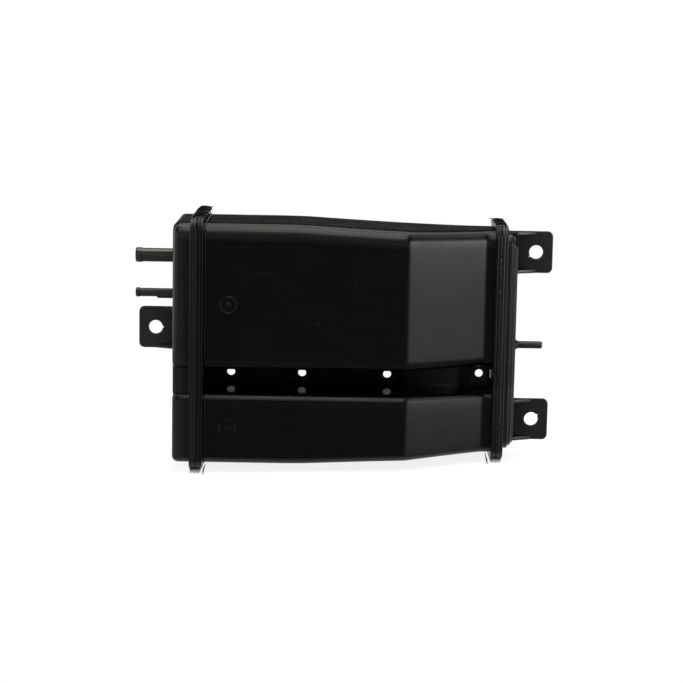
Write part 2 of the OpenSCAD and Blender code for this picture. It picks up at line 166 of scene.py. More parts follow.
def capped(points):
    """Closed body from rings, with a fan of triangles to a pole in the middle of each end ring."""
    rows, cols = points.shape[:2]
    poles = np.stack([points[0].mean(0), points[-1].mean(0)])
    j = np.arange(cols)
    first = np.stack([np.full(cols, rows * cols), (j + 1) % cols, j], -1)
    last = np.stack([np.full(cols, rows * cols + 1), j, (j + 1) % cols], -1)
    last[:, 1:] += (rows - 1) * cols
    tris = np.concatenate([first, last])
    return np.concatenate([points.reshape(-1, 3), poles]), grid_quads(rows, cols, False), tris


def turned_out(shape):
    """The same closed shape, with each face reversed where its signed volume is negative."""
    points, quads, tris = shape
    three = np.concatenate([quads[:, :3], quads[:, [0, 2, 3]], tris])
    a, b, c = (points[three[:, k]] for k in range(3))
    if np.einsum("ij,ij->i", a, np.cross(b, c)).sum() < 0:
        quads, tris = quads[:, ::-1], tris[:, ::-1]
    return points, quads, tris


def put(name, shapes, node=None, smooth_angle=35):
    """Join closed shapes into one mesh in metres, smooth it up to an angle, and hang it on the body."""
    shapes = [turned_out(shape) for shape in shapes]
    starts = np.cumsum([0] + [len(shape[0]) for shape in shapes])
    faces = []
    for start, (_, quads, tris) in zip(starts, shapes):
        faces += (quads + start).tolist() + (tris + start).tolist()
    mesh = bpy.data.meshes.new(name)
    mesh.from_pydata((np.concatenate([shape[0] for shape in shapes]) * MM).tolist(), [], faces)
    mesh.shade_smooth()
    mesh.set_sharp_from_angle(angle=math.radians(smooth_angle))
    piece = bpy.data.objects.new(name, mesh)
    bpy.context.scene.collection.objects.link(piece)
    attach(piece, "root")
    if node:
        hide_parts(node)
    print(name, "has", len(mesh.vertices), "points and", len(mesh.polygons), "faces")
    return piece


def soften(corners, cut, steps=4, closed=True):
    """Profile with each corner eased by a quadratic curve, from cut before the corner to cut after it. An
    open profile keeps its two ends."""
    corner = np.array(corners, float)
    before, after = np.roll(corner, 1, 0) - corner, np.roll(corner, -1, 0) - corner
    far_before, far_after = (np.linalg.norm(way, axis=1, keepdims=True) for way in (before, after))
    start = corner + before / far_before * np.minimum(cut, 0.45 * far_before)
    end = corner + after / far_after * np.minimum(cut, 0.45 * far_after)
    t = np.linspace(0, 1, steps + 1)[None, :, None]
    curve = (1 - t) ** 2 * start[:, None] + 2 * t * (1 - t) * corner[:, None] + t ** 2 * end[:, None]
    if closed:
        return curve.reshape(-1, corner.shape[1])
    return np.concatenate([corner[:1], curve[1:-1].reshape(-1, corner.shape[1]), corner[-1:]])


print("a softened square has", len(soften([(0, 0), (1, 0), (1, 1), (0, 1)], 0.2)), "points")

# %% [markdown]
# ## The housing
#
# The housing is one moulding. Its front wall bends and recedes to a neck, and its roof and floor close in
# as well. A boolean model would give hard facets there, so each chamber is a loft whose walls are smooth
# functions of x.

# %% Walls of the chambers as functions of x
BEND_BLEND = 0.9
SQUEEZE_BLEND = 5.0


def soft_ramp(x, start, end, blend):
    """Straight line from 0 at start to 1 at end, with both corners rounded over about two blends."""
    rise = np.logaddexp(0, (x - start) / blend) - np.logaddexp(0, (x - end) / blend)
    return blend * rise / (end - start)


def front_y(x):
    """Front wall: straight to the bend, then back to the neck in a line."""
    return FRONT_Y + (BACK_Y - FRONT_Y - NECK_DEPTH) * soft_ramp(x, BEND_X, NECK_X, BEND_BLEND)


def squeeze(x):
    """Share of the closing-in of roof and floor: fast at first, then flattening out at the neck."""
    reached = np.clip(soft_ramp(x, SQUEEZE_X, NECK_X, SQUEEZE_BLEND), 0, 1)
    return 1 - (1 - reached) ** 1.5


def roof_z(x):
    """Main chamber's roof: its height less its drop times the squeeze."""
    return ROOF_Z - ROOF_DROP * squeeze(x)


def floor_z(x):
    """Side chamber's floor: its height and its rise times the squeeze."""
    return FLOOR_Z + FLOOR_RISE * squeeze(x)


def side_roof_z(x):
    """Side chamber's roof: level to the bend, then down to the neck in a line."""
    return SIDE_TOP_Z - SIDE_DROP * soft_ramp(x, BEND_X, NECK_X, BEND_BLEND)


def web_y(x):
    """Middle of the web: straight to the bend, then back in a line that ends before the neck."""
    return WEB_STEP * soft_ramp(x, BEND_X, BEND_X + WEB_SHARE * (NECK_X - BEND_X), BEND_BLEND)


print("neck: front wall at", round(float(front_y(END_X)), 2), "mm, roof at", round(float(roof_z(END_X)), 2))

# %% [markdown]
# ### Chambers
#
# A chamber is hollow, so its rings run out along the outside and back along the inside. The walls beside
# the groove lean away from the web, as a mould needs in order to open, and a low bead runs round each
# chamber at the port end.

# %% Chambers and their beads


def chamber_rings(side, x, inset):
    """Rings of one chamber at x, drawn in by inset. The walls of the groove fall away from the web by
    their draft: the main chamber's floor, less so towards the bend, and the side chamber's roof, from the
    same front edge."""
    x = np.atleast_1d(np.asarray(x, float))
    low, high, r = MAIN_FLOOR_Z + 0 * x, roof_z(x), MAIN_R
    if side:
        low, high, r = floor_z(x), side_roof_z(x), SIDE_R
    rings = rounded_rings(front_y(x) + inset, BACK_Y - inset, low + inset, high - inset,
                          np.maximum(r - inset, 1.5), LONG_HOLD)
    behind = rings[..., 0] - web_y(x)[:, None]
    upper = rings[..., 1] > (low + high)[:, None] / 2
    if not side:
        fading = 1 - MAIN_DRAFT_FADE * np.clip((x - PORT_X) / (BEND_X - PORT_X), 0, 1)
        rings[..., 1] += ~upper * MAIN_DRAFT * fading[:, None] * np.minimum(behind, 0)
        return rings
    reach = (web_y(x) - front_y(x))[:, None]
    rings[..., 1] -= upper * (GROOVE_DRAFT * reach - ROOF_DRAFT * (reach - np.abs(behind)))
    return rings


def chamber_stations(x0, x1):
    """Stations every few millimetres, and closer round the bend and the neck."""
    fine = np.linspace(-6, 6, 17)
    x = np.concatenate([np.linspace(x0, x1, 46), BEND_X + fine, NECK_X + fine])
    return np.unique(np.clip(x, x0, x1))


def chamber(side):
    """Wall of one chamber: the outer rings out to the neck, then the inner rings back."""
    x = chamber_stations(PORT_X + 1, END_X - 1)
    outer = at_x(x, chamber_rings(side, x, 0.0))
    inner = at_x(x[::-1], chamber_rings(side, x[::-1], WALL))
    return tube(np.concatenate([outer, inner]))


def bead(side, x0, width, height):
    """Low stiffening bead round a chamber, as a ring with a shallow arched section."""
    step = np.linspace(0, np.pi, 9)
    x = x0 + width * (1 - np.cos(step)) / 2
    inset = 0.4 - (height + 0.4) * np.sin(step) ** 0.7
    rings = np.concatenate([chamber_rings(side, xi, gi) for xi, gi in zip(x, inset)])
    return tube(at_x(x, rings))


print("stations along a chamber:", len(chamber_stations(PORT_X + 1, END_X - 1)))

# %% [markdown]
# ### Flanges
#
# Each end of the housing has a flange, and a cover is welded to it. One section with a bevel, a fine
# groove and a rounded edge is carried round the outline. A bevel modifier would round all edges alike.

# %% Flanges, with a bevel along the weld
EDGE = 0.7
WELD_BEVEL = 0.6


def flange_rings(x, inset):
    """Outline of a flange at the weld plane x, drawn in by each inset. Inside the chamber walls it keeps
    their radius."""
    inset = np.asarray(inset, float)
    radius = np.where(inset > LIP_SIDE, SIDE_R, np.maximum(FLANGE_R - inset, 1.5))
    return rounded_rings(front_y(x) - LIP_SIDE + inset, BACK_Y + LIP_SIDE - inset,
                         floor_z(x) - LIP_FOOT + inset, roof_z(x) + LIP_TOP - inset, radius)


def flange(weld_x, thick, way, reach=0.8 * WALL):
    """Frame round both chambers. Its section runs from the weld plane over the bevel, a fine groove and a
    rounded edge to the far face, and back inside the walls, where it reaches past the chambers' outline."""
    quarter = np.radians(np.linspace(0, 90, 6))
    depth = LIP_SIDE + reach
    bevel, mid = WELD_BEVEL, thick / 2 + 0.1
    section = [(0, depth), (0, bevel + 0.3), (0.15, bevel), (bevel, 0.12), (bevel + 0.2, 0)]
    section += [(mid - 0.6, 0), (mid - 0.35, 0.04), (mid, 0.28), (mid + 0.35, 0.04), (mid + 0.6, 0)]
    section += [(thick - EDGE + EDGE * math.sin(a), EDGE - EDGE * math.cos(a)) for a in quarter]
    section += [(thick, EDGE + 0.3), (thick, depth)]
    along, inset = np.array(section).T
    points = at_x(weld_x + way * along, flange_rings(weld_x, inset))
    return tube(points if way > 0 else points[::-1])


def bridge(weld_x, thick, way):
    """Part of a flange between the two chambers, as a rounded slab."""
    x = np.sort(weld_x + way * np.array([0.05, thick]))
    rings = rounded_rings(front_y(weld_x) - 1, BACK_Y + 1, SIDE_TOP_Z - 6, MAIN_FLOOR_Z + 4, 0.5)
    return capped(at_x(x, np.repeat(rings, 2, 0)))


print("flange edge rounded by", EDGE, "mm, weld bevel", WELD_BEVEL)

# %% [markdown]
# ### Web
#
# A thin web ties the two chambers together, and four round holes go through it. A boolean cut leaves long
# thin faces round a hole, so the web is made of plain strips and square patches. In a patch every ray
# runs straight from the square to the hole.

# %% Web with its round holes and the slot by the neck
HOLE_R, HOLE_Z = 3.0, GROOVE_Z + 0.45
HOLE_XS = np.array([PORT_X + 23.8, PORT_X + 77.1, BEND_X - 13.3, END_X - 13.0])
PATCH = 7.0
SLOT_W, SLOT_H = 0.4, 6.5
NECK_FLANGE, PORT_FLANGE = 4.3, 5.0


def strip(x0, x1, z0=None, z1=None):
    """Plain stretch of the web between two stations, as a thin loft along its bent middle line. Where no
    height is given, it runs a little way into the chamber's wall below or above."""
    x = chamber_stations(x0, x1)
    y = web_y(x)
    low = side_roof_z(x) - 1 if z0 is None else z0
    high = MAIN_FLOOR_Z + 1 if z1 is None else z1
    return capped(at_x(x, rounded_rings(y - WEB_T / 2, y + WEB_T / 2, low, high, 0.2)))


def hole_patch(x):
    """Square of the web round a hole: rays run from the square's edge in to the hole and back behind."""
    turn = np.linspace(0, 2 * np.pi, 64, endpoint=False)
    ray = np.stack([np.cos(turn), np.sin(turn)], -1)
    square = ray * PATCH / np.abs(ray).max(1, keepdims=True)
    half, soft = WEB_T / 2, 0.35
    steps = [(1, 0, -half), (0, soft, -half), (0, 0.1, -half + 0.1), (0, 0, -half + soft),
             (0, 0, half - soft), (0, 0.1, half - 0.1), (0, soft, half), (1, 0, half)]
    rows = []
    for outer, back, y in steps:
        flat = square if outer else ray * (HOLE_R + back)
        rows.append(np.stack([x + flat[:, 0], web_y(x) + y + flat[:, 0] * 0, HOLE_Z + flat[:, 1]], -1))
    return tube(np.array(rows))


def web():
    """Plain strips between the square patches, with a slot left open beside the neck flange."""
    slot_x = END_X - NECK_FLANGE - SLOT_W
    marks = [PORT_X + 1] + [x + s * (PATCH - 0.05) for x in HOLE_XS for s in (-1, 1)]
    marks += [min(slot_x, END_X - 1)]
    shapes = [strip(a, b) for a, b in zip(marks[::2], marks[1::2]) if b > a + 0.1]
    for x in HOLE_XS:
        shapes += [hole_patch(x)]
        shapes += [strip(x - PATCH, x + PATCH, z1=HOLE_Z - PATCH + 0.05)]
        shapes += [strip(x - PATCH, x + PATCH, z0=HOLE_Z + PATCH - 0.05)]
    shapes += [strip(slot_x, END_X - 1, z1=GROOVE_Z - SLOT_H / 2)]
    return shapes + [strip(slot_x, END_X - 1, z0=GROOVE_Z + SLOT_H / 2)]


print("web holes at", np.round(HOLE_XS, 1).tolist())

# %% [markdown]
# ### Gate marks
#
# The melt enters the mould at a gate, which leaves a small ringed disc where it is cut off. The disc is a
# turned shape, so a height over the radius is spun round. A texture would not catch the light along its
# ring.

# %% Gate marks on the front wall
GATES = ((PORT_X + 23.3, 122.2), (PORT_X + 23.3, 31.3))
GATE_R, GATE_RING_R, GATE_DOT_R = 7.0, 5.9, 1.5


def gate_mark(x, z):
    """Disc on the front wall, turned about its axis: a dot in the middle and a low ring near its edge."""
    on_dot, on_ring = np.linspace(0.05, GATE_DOT_R, 6), np.linspace(4.9, 6.9, 12)
    r = np.concatenate([on_dot, np.linspace(1.9, 4.6, 5), on_ring, [GATE_R + 0.2]])
    dot = 0.5 * np.sqrt(np.clip(1 - (r / (GATE_DOT_R + 0.3)) ** 2, 0, 1))
    ridge = 0.26 * np.exp(-((r - GATE_RING_R) / 0.45) ** 2)
    lift = dot + ridge + 0.02 - 0.3 * (r > GATE_R)
    turn = np.linspace(0, 2 * np.pi, 72, endpoint=False)
    top = np.stack([x + r[:, None] * np.cos(turn), FRONT_Y - lift[:, None] + 0 * turn,
                    z + r[:, None] * np.sin(turn)], -1)
    back = np.stack([x + GATE_R * np.cos(turn), FRONT_Y + 0.8 + 0 * turn, z + GATE_R * np.sin(turn)], -1)
    return capped(np.concatenate([top, back[None]]))


housing = put("housing_moulding", [chamber(False), chamber(True)]
              + [bead(side, PORT_X + PORT_FLANGE + 0.5, 1.2, 0.8) for side in (False, True)]
              + [flange(PORT_X, PORT_FLANGE, 1), flange(END_X, NECK_FLANGE, -1)]
              + [bridge(PORT_X, PORT_FLANGE, 1), bridge(END_X, NECK_FLANGE, -1)]
              + web() + [gate_mark(*gate) for gate in GATES],
              node="housing")

# %% [markdown]
# ## The port cover
#
# The cover on the port side is a second moulding, welded to the housing's flange. Two shallow cups with
# rounded rims face outwards, with a narrow waist between them. Each cup is one profile carried round the
# chamber's own outline, from a pole in the middle of its face over the rim to a pole on the inside.

# %% Cups and waist of the port cover
COVER_FLANGE, COVER_L = 4.7, 17.7
CUP_EDGE, CUP_HOLD = 4.6, 6.0
WAIST_IN, WAIST_LOW, WAIST_LAP = 4.0, 0.2, 3.8
FACE_X = PORT_X - COVER_L


def drawn_in(ring, shares):
    """Copies of one ring of points, drawn towards its middle to each share of its size."""
    middle = ring.mean(0)
    return middle + (ring - middle) * np.asarray(shares, float)[:, None, None]


def cup(side):
    """Shell over one chamber: a flat face, a quarter-round rim, a straight side, and back one wall in."""
    turn = np.radians(np.linspace(0, 90, 9))
    rim = np.stack([FACE_X + CUP_EDGE * (1 - np.cos(turn)), CUP_EDGE * (1 - np.sin(turn))], -1)
    outer = np.concatenate([rim, [[FACE_X + CUP_EDGE + CUP_HOLD, 0], [PORT_X - 0.05, 0]]])
    inner = outer + [[WALL, WALL]]
    inner[-1, 0] = PORT_X - 0.05
    x, inset = np.concatenate([outer, inner[::-1]]).T
    wall = at_x(x, np.concatenate([chamber_rings(side, PORT_X, g) for g in inset]))
    shares = [0.05, 0.35, 0.7, 0.95, 0.985]
    return capped(np.concatenate([drawn_in(wall[0], shares), wall, drawn_in(wall[-1], shares[::-1])]))


def block(xs, insets, y0, y1, z0, z1, r):
    """Bar along X with a rounded section, drawn in by the given insets at its stations to ease its ends."""
    g = np.asarray(insets, float)
    return capped(at_x(xs, rounded_rings(y0 + g, y1 - g, z0 + g, z1 - g, r)))


def waist():
    """Bar between the two cups, drawn in by less and less from its outer end, which rounds it."""
    half = BACK_Y - WAIST_IN
    along = FACE_X + WAIST_LOW + np.array([0, 0.4, 1.1, 2.2, 2.2 + CUP_HOLD])
    return block(np.append(along, PORT_X - 1), [1.8, 0.9, 0.3, 0, 0, 0], -half, half,
                 SIDE_TOP_Z - WAIST_LAP, MAIN_FLOOR_Z + WAIST_LAP, 0.8)


RIB_T, RIB_Y, GRID_X = 2.0, 14.0, 4.0


def grid_rib(side, way):
    """Rib inside the cover that presses one grid."""
    z0 = (FLOOR_Z if side else MAIN_FLOOR_Z) + 2 * WALL
    z1 = (SIDE_TOP_Z if side else ROOF_Z) - 3 * WALL
    y = way * RIB_Y
    return block([FACE_X + WALL - 1, PORT_X + GRID_X], [0, 0], y - RIB_T / 2, y + RIB_T / 2, z0, z1, 0.4)


print("cover face at", round(FACE_X, 2), "mm, rim rounded by", CUP_EDGE)

# %% [markdown]
# ### Nipples
#
# A hose is pushed over each nipple and held by the bead near its tip. The nipples are turned shapes, so
# each is one profile spun round its axis, with the bore as the way back.

# %% Nipples, spun round an axis along X
mounts = {mount["name"]: mount for mount in frame["record"]["mounts"]}
NIPPLE_WALL, COLLAR, TIP = 1.4, 1.2, 1.0


def spun(profile, x0, y, z, way):
    """Turn a profile of distance along X and radius round the axis through y and z."""
    turn = np.linspace(0, 2 * np.pi, 64, endpoint=False)
    along, radius = profile[:, :1], profile[:, 1:]
    return np.stack([x0 + way * along + 0 * turn, y + radius * np.cos(turn), z + radius * np.sin(turn)], -1)


def nipple(mount, x0, length, d, lip):
    """Collar, tube, bead and chamfered tip outside, and a straight bore back through the cover's face."""
    r, bore = d / 2, d / 2 - NIPPLE_WALL
    way = -1 if x0 < 0 else 1
    _, y, z = (value / MM for value in mounts[mount]["pos_m"])
    corners = [(-WALL, bore), (-0.8, r + COLLAR), (COLLAR, r + COLLAR), (2 * COLLAR, r)]
    if lip:
        corners += [(length - r, r), (length - r + lip, r + lip)]
    corners += [(length - TIP, r + lip), (length, r + lip - TIP / 2), (length, bore)]
    return tube(spun(soften(corners, 0.5), x0, y, z, way))


print("nipples stand", round(FACE_X - cad_box[0][0] / MM, 2), "mm out of the port cover")

# %% [markdown]
# ### Fixing tabs
#
# The part hangs on three tabs. A tab is a plate with a hole, stiffened by two gussets. Rays from the hole
# to the outline make a grid that follows both edges exactly, which a boolean cut would not.

# %% Fixing tabs with their gusset ribs
TAB_H, TAB_T, TAB_R, TAB_HOLE_IN = 31.4, 3.0, 4.0, 12.5
TAB_EDGE = 0.45
NICK, TAB_RAYS = 1.0, 260
GUSSET_T, GUSSET_D = 2.6, 7.0


def run(a, b, count):
    """Points from a up to, but not including, b."""
    return np.linspace(a, b, count, endpoint=False)


def tab_outline(length, root):
    """Rectangle from behind the root to the tip, with quarter circles at its two outer corners."""
    half = TAB_H / 2
    turn = np.radians(np.linspace(0, 90, 11))
    arc = np.stack([np.cos(turn), np.sin(turn)], -1) * TAB_R
    centre = np.array([length - TAB_R, half - TAB_R])
    upper = centre + arc
    lower = (upper * [1, -1])[::-1]
    return np.concatenate([run([-root, -half], lower[0], 8), lower, run(lower[-1], upper[0], 7)[1:], upper,
                           run(upper[-1], [-root, half], 8)[1:], run([-root, half], [-root, -half], 8)])


def resampled(ring, count):
    """Points at even steps along a closed outline, and how far along it each one lies."""
    ring = np.concatenate([ring, ring[:1]])
    walked = np.concatenate([[0], np.cumsum(np.linalg.norm(np.diff(ring, axis=0), axis=1))])
    step = np.linspace(0, walked[-1], count, endpoint=False)
    return np.stack([np.interp(step, walked, ring[:, k]) for k in (0, 1)], -1), step


def tab_plate(x0, y, z, length, root, way, nick):
    """Plate round a hole. Rows run from the outline over the front to the hole, through it, and back
    behind. The hole is a circle with one nick, a narrow bell of extra radius at an angle."""
    hole = np.array([length - TAB_HOLE_IN, 0.0])
    outline = resampled(tab_outline(length, root), TAB_RAYS)[0]
    ray = outline - hole
    ray /= np.linalg.norm(ray, axis=1, keepdims=True)
    off_nick = np.arccos(np.clip(ray @ [math.cos(nick), math.sin(nick)], -1, 1))
    hole_r = (mounts["port_tab_hole"]["dims"]["r_mm"] + NICK * np.exp(-(off_nick / 0.11) ** 4))[:, None]
    half, e = TAB_T / 2, TAB_EDGE
    ease = [(2 * e, 0), (e, 0), (0.3 * e, 0.3 * e), (0, e)]
    middle = hole + (outline - hole) * 0.75 + ray * hole_r * 0.25
    rim = [(outline - ray * g, half - d) for g, d in ease[::-1]]
    bore = [(hole + ray * (hole_r + g), half - d) for g, d in ease]
    face = rim + [(middle, half)] + bore
    rows = [(flat, -off) for flat, off in face] + face[::-1]
    points = [np.stack([x0 + way * flat[:, 0], y + off + 0 * flat[:, 0], z + flat[:, 1]], -1)
              for flat, off in rows]
    return tube(np.array(points))


def gusset(x0, y, z, length, root, way):
    """Wedge rib under one long edge of a tab, deepest at its root."""
    low = y - TAB_T / 2
    end = length - TAB_HOLE_IN
    flat = soften([(-root, y), (-root, low - GUSSET_D), (0, low - GUSSET_D), (end, low), (end, y)], 0.6)
    rows = []
    for off, share in ((-0.5, 0.96), (-0.38, 1), (0.38, 1), (0.5, 0.96)):
        ring = drawn_in(flat, [share])[0] if share < 1 else flat
        rows.append(np.stack([x0 + way * ring[:, 0], ring[:, 1], z + off * GUSSET_T + 0 * ring[:, 0]], -1))
    return capped(np.array(rows))


def tab(mount, x0, root, nick=0.0):
    """Plate and two gussets at the place of one hole mount. The nick's angle is seen along the tab."""
    x, y, z = (value / MM for value in mounts[mount]["pos_m"])
    way = -1 if x < 0 else 1
    length = abs(x - x0) + TAB_HOLE_IN
    ribs = [gusset(x0, y, z + s * (TAB_H - GUSSET_T) / 2, length, root, way) for s in (-1, 1)]
    return [tab_plate(x0, y, z, length, root, way, nick)] + ribs


print("tabs are", TAB_H, "mm high and", TAB_T, "mm thick")

# %% [markdown]
# ### The port cover's mesh
#
# A thin rib props the purge nipple. The cover is one moulding, so all its shapes go into one mesh, where
# they overlap a little, as plastic runs together.

# %% Purge rib and the port cover's mesh
TANK_D, PURGE_D, NIPPLE_LIP = 10.2, 6.3, 0.4
RIB_L, RIB_H, PURGE_RIB_T = 15.0, 1.1, 1.6


def purge_rib():
    """Thin rib under the purge nipple, a flat outline with a sloped end, given its thickness across Y."""
    _, y, z = (value / MM for value in mounts["purge_nipple"]["pos_m"])
    top, low = z - PURGE_D / 2 + NIPPLE_WALL / 2, z - PURGE_D / 2 - RIB_H
    root, tip = FACE_X + 1, FACE_X - RIB_L
    flat = soften([(root, top), (root, low), (tip + RIB_H, low), (tip, top)], 0.3)
    half = PURGE_RIB_T / 2
    rows = [np.insert(drawn_in(flat, [share])[0], 1, y + off * half, axis=1)
            for off, share in ((-1, 0.97), (-0.8, 1), (0.8, 1), (1, 0.97))]
    return capped(np.array(rows))


nipple_l = FACE_X - cad_box[0][0] / MM
port_cover = put("port_cover_moulding", [cup(False), cup(True), waist()]
                 + [flange(PORT_X, COVER_FLANGE, -1), bridge(PORT_X, COVER_FLANGE, -1)]
                 + [grid_rib(side, way) for side in (False, True) for way in (-1, 1)]
                 + [nipple("tank_nipple", FACE_X, nipple_l, TANK_D, NIPPLE_LIP)]
                 + [nipple("purge_nipple", FACE_X, nipple_l, PURGE_D, NIPPLE_LIP)]
                 + [purge_rib()] + tab("port_tab_hole", FACE_X, 1.0, math.radians(180)),
                 node="port_cover")

# %% [markdown]
# ## The end cover
#
# The far end is closed by a stepped pan. It spans both chambers, so that vapour can turn from one into
# the other, and it carries two tabs and the vent nipple. The pan is again one profile, carried round the
# neck's outline.

# %% Pan, bosses and the end cover's mesh
END_FLANGE, END_L = 4.8, 13.0
STEP_H, PAN_INSET, STEP_IN, STEP_SHARE = 2.3, 2.2, 1.6, 0.4
PAN_X = END_X + END_L
BOSS_R, BOSS_H, SPRING_PITCH = 9.1, 3.5, 46.0
VENT_D, VENT_L = 5.5, 21.0


def pan():
    """Two steps up to the face outside and a plain hollow inside. The profile is a list of x and inset,
    from the middle of the face down to the weld and up again, and rings of that inset follow the neck's
    outline."""
    slope = STEP_SHARE * STEP_H
    low, high = PAN_X - 2 * STEP_H, PAN_X - STEP_H
    steps = [(PAN_X, 3.5), (PAN_X, 2.4), (high + slope, 2), (high, 1), (low + slope, 1), (low, 0)]
    outer = [(x, PAN_INSET + STEP_IN * count) for x, count in steps + [(END_X + 1, 0)]]
    inner = [(x - WALL, inset + WALL) for x, inset in (outer[0], outer[1], outer[5])]
    x, inset = soften(outer + [(END_X + 1, PAN_INSET + WALL)] + inner[::-1], 0.5, closed=False).T
    wall = at_x(x, rounded_rings(front_y(END_X) + inset, BACK_Y - inset, floor_z(END_X) + inset,
                                 roof_z(END_X) - inset, MAIN_R))
    shares = [0.05, 0.35, 0.7, 0.95]
    return capped(np.concatenate([drawn_in(wall[0], shares), wall, drawn_in(wall[-1], shares[::-1])]))


def spring_boss(z):
    """Low round boss that centres a spring inside the pan."""
    profile = np.array([(0, BOSS_R - 0.4), (0.15, BOSS_R - 0.1), (0.5, BOSS_R), (BOSS_H + 1, BOSS_R)])
    return capped(spun(profile, PAN_X - WALL - BOSS_H, BACK_Y - NECK_DEPTH / 2, z, 1))


main_mid = (MAIN_FLOOR_Z + roof_z(END_X)) / 2
seats = [main_mid + SPRING_PITCH / 2, main_mid - SPRING_PITCH / 2, (floor_z(END_X) + side_roof_z(END_X)) / 2]
tab_root = END_L - END_FLANGE + 1
end_tabs = tab("upper_tab_hole", PAN_X, tab_root, math.radians(215))
end_tabs += tab("lower_tab_hole", PAN_X, tab_root, 0.6)
end_cover = put("end_cover_moulding", [flange(END_X, END_FLANGE, 1, PAN_INSET + 0.8 * WALL), pan()]
                + [spring_boss(z) for z in seats]
                + [nipple("vent_nipple", PAN_X, VENT_L, VENT_D, 0.0)] + end_tabs,
                node="end_cover")

# %% [markdown]
# ## Weld flash
#
# The covers are welded on by melting both edges and pressing them together. The melt that is squeezed out
# stays as flash: a thin ragged bead along the seam, thick caps on top of the flanges, curled shavings,
# and two whiskers by the feet. Its raggedness is a sum of sines with fixed random phases, so that every
# run gives the same flash.

# %% Ragged beads, caps and shavings
chance = np.random.default_rng(7)


def ragged(t, size, waves, spread):
    """Sum of sines over t with random phases and random frequencies up to spread, about size high."""
    frequency = chance.uniform(0.1, 1.0, waves)[:, None] * spread
    phase = chance.uniform(0, 2 * np.pi, waves)[:, None]
    return size * np.sin(frequency * np.ravel(t) + phase).sum(0).reshape(np.shape(t)) / math.sqrt(waves)


def seam_bead(weld_x):
    """Thin ridge in the groove of one seam: a four-sided section carried round the flange's outline."""
    outline, step = resampled(flange_rings(weld_x, [0.0])[0], 900)
    way = np.roll(outline, -1, 0) - np.roll(outline, 1, 0)
    normal = np.stack([way[:, 1], -way[:, 0]], -1) / np.linalg.norm(way, axis=1, keepdims=True)
    turn = 2 * np.pi * step / (step[1] * len(step))
    height = -0.35 + ragged(turn, 0.1, 24, 90)
    lean = ragged(turn, 0.12, 12, 60)
    sides = [(-0.45, -0.75 + 0 * height), (-0.12, height), (0.12, height - 0.05), (0.45, -0.75 + 0 * height)]
    rows = [np.column_stack([weld_x + off + lean * (abs(off) < 0.2), outline + normal * far[:, None]])
            for off, far in sides]
    return tube(np.array(rows))


def flash_cap(weld_x, left, right, height, jag):
    """Cap of squeezed melt on top of both flanges: arched sections across X, carried from front to back,
    that swell behind the front corner, with a ragged edge on one side."""
    y = np.linspace(front_y(weld_x) - LIP_SIDE + 7, BACK_Y + LIP_SIDE - 2.5, 64)
    t = np.linspace(0, 1, 64)
    swell = np.clip(np.minimum(t / 0.25, (1 - t) / 0.07), 0, 1) ** 0.5
    corner = np.minimum(np.minimum(y - front_y(weld_x), BACK_Y - y) + LIP_SIDE - FLANGE_R, 0)
    top = roof_z(weld_x) + LIP_TOP - FLANGE_R + np.sqrt(np.clip(FLANGE_R ** 2 - corner ** 2, 0, None))
    edge = right + jag * swell * (0.55 + ragged(t, 0.4, 14, 130))
    rise = height * swell * (1 + ragged(t, 0.12, 14, 90))
    turn = np.linspace(0, np.pi, 15)
    across = (1 - np.cos(turn)) / 2
    x = weld_x + left + (edge[:, None] - left) * across
    z = top[:, None] - 0.4 + (rise[:, None] + 0.4) * np.sin(turn) ** 0.5
    upper = np.stack([x, np.repeat(y[:, None], 15, 1), z + ragged(x * 3 + y[:, None], 0.06, 10, 2.2)], -1)
    lower = upper[:, ::-1] * [1, 1, 0] + [0, 0, 1] * (top[:, None, None] - 0.9)
    return capped(np.concatenate([upper, lower[:, 1:-1]], 1))


def shaving(points, thick):
    """Curl of flash: a round section that thins out along a quadratic curve through three points."""
    start, bend, end = (np.array(point, float) for point in points)
    t = np.linspace(0, 1, 14)[:, None]
    path = (1 - t) ** 2 * start + 2 * t * (1 - t) * bend + t ** 2 * end
    way = np.gradient(path, axis=0)
    way /= np.linalg.norm(way, axis=1, keepdims=True)
    side = np.cross(way, [0.3, 1, 0.2])
    side /= np.linalg.norm(side, axis=1, keepdims=True)
    other = np.cross(way, side)
    turn = np.linspace(0, 2 * np.pi, 10, endpoint=False)[:, None, None]
    radius = thick * (1 - 0.75 * t ** 1.5)
    ring = path + radius * (side * np.cos(turn) + other * np.sin(turn))
    return capped(ring.transpose(1, 0, 2))


print("flash bead follows", len(flange_rings(PORT_X, [0.0])[0]), "points of the flange's outline")

# %% [markdown]
# ### Curls, burr and whiskers
#
# Where the melt was scraped off by hand it hangs in curls, and under the feet it was torn off. A curl is
# a tapered tube along a curve through three points, and the burr is an outline drawn in on its way down.

# %% Curls, burr, whiskers and the flash's mesh
# Start along X from the weld, place in depth, and the tip's reach along X and upwards
PORT_CURLS = ((4.0, 34, 3.6, 1.9), (4.2, 22, 3.4, -0.9), (4.0, 8, 3.2, -1.4), (4.4, -22, 2.6, -2.4))
END_CURLS = ((-3.6, 36, -3.4, 0.4), (-3.8, 24, -2.8, -1.6), (-3.8, 10, -2.4, -2.2))
CURL_R, WHISKER_R = 0.45, 0.75
port_top, end_top = ROOF_Z + LIP_TOP, roof_z(END_X) + LIP_TOP
end_foot = floor_z(END_X) - LIP_FOOT
curls = [shaving([(PORT_X + x, y, port_top + 0.4), (PORT_X + x + 2.2, y, port_top + 1.2),
                  (PORT_X + x + dx, y - 1, port_top + dz)], CURL_R)
         for x, y, dx, dz in PORT_CURLS]
curls += [shaving([(END_X + x, y, end_top + 0.5), (END_X + x - 2.0, y, end_top + 1.9),
                   (END_X + x + dx, y - 1, end_top + dz)], CURL_R)
          for x, y, dx, dz in END_CURLS]
BURR_H, BURR_POINTS = 3.3, 420


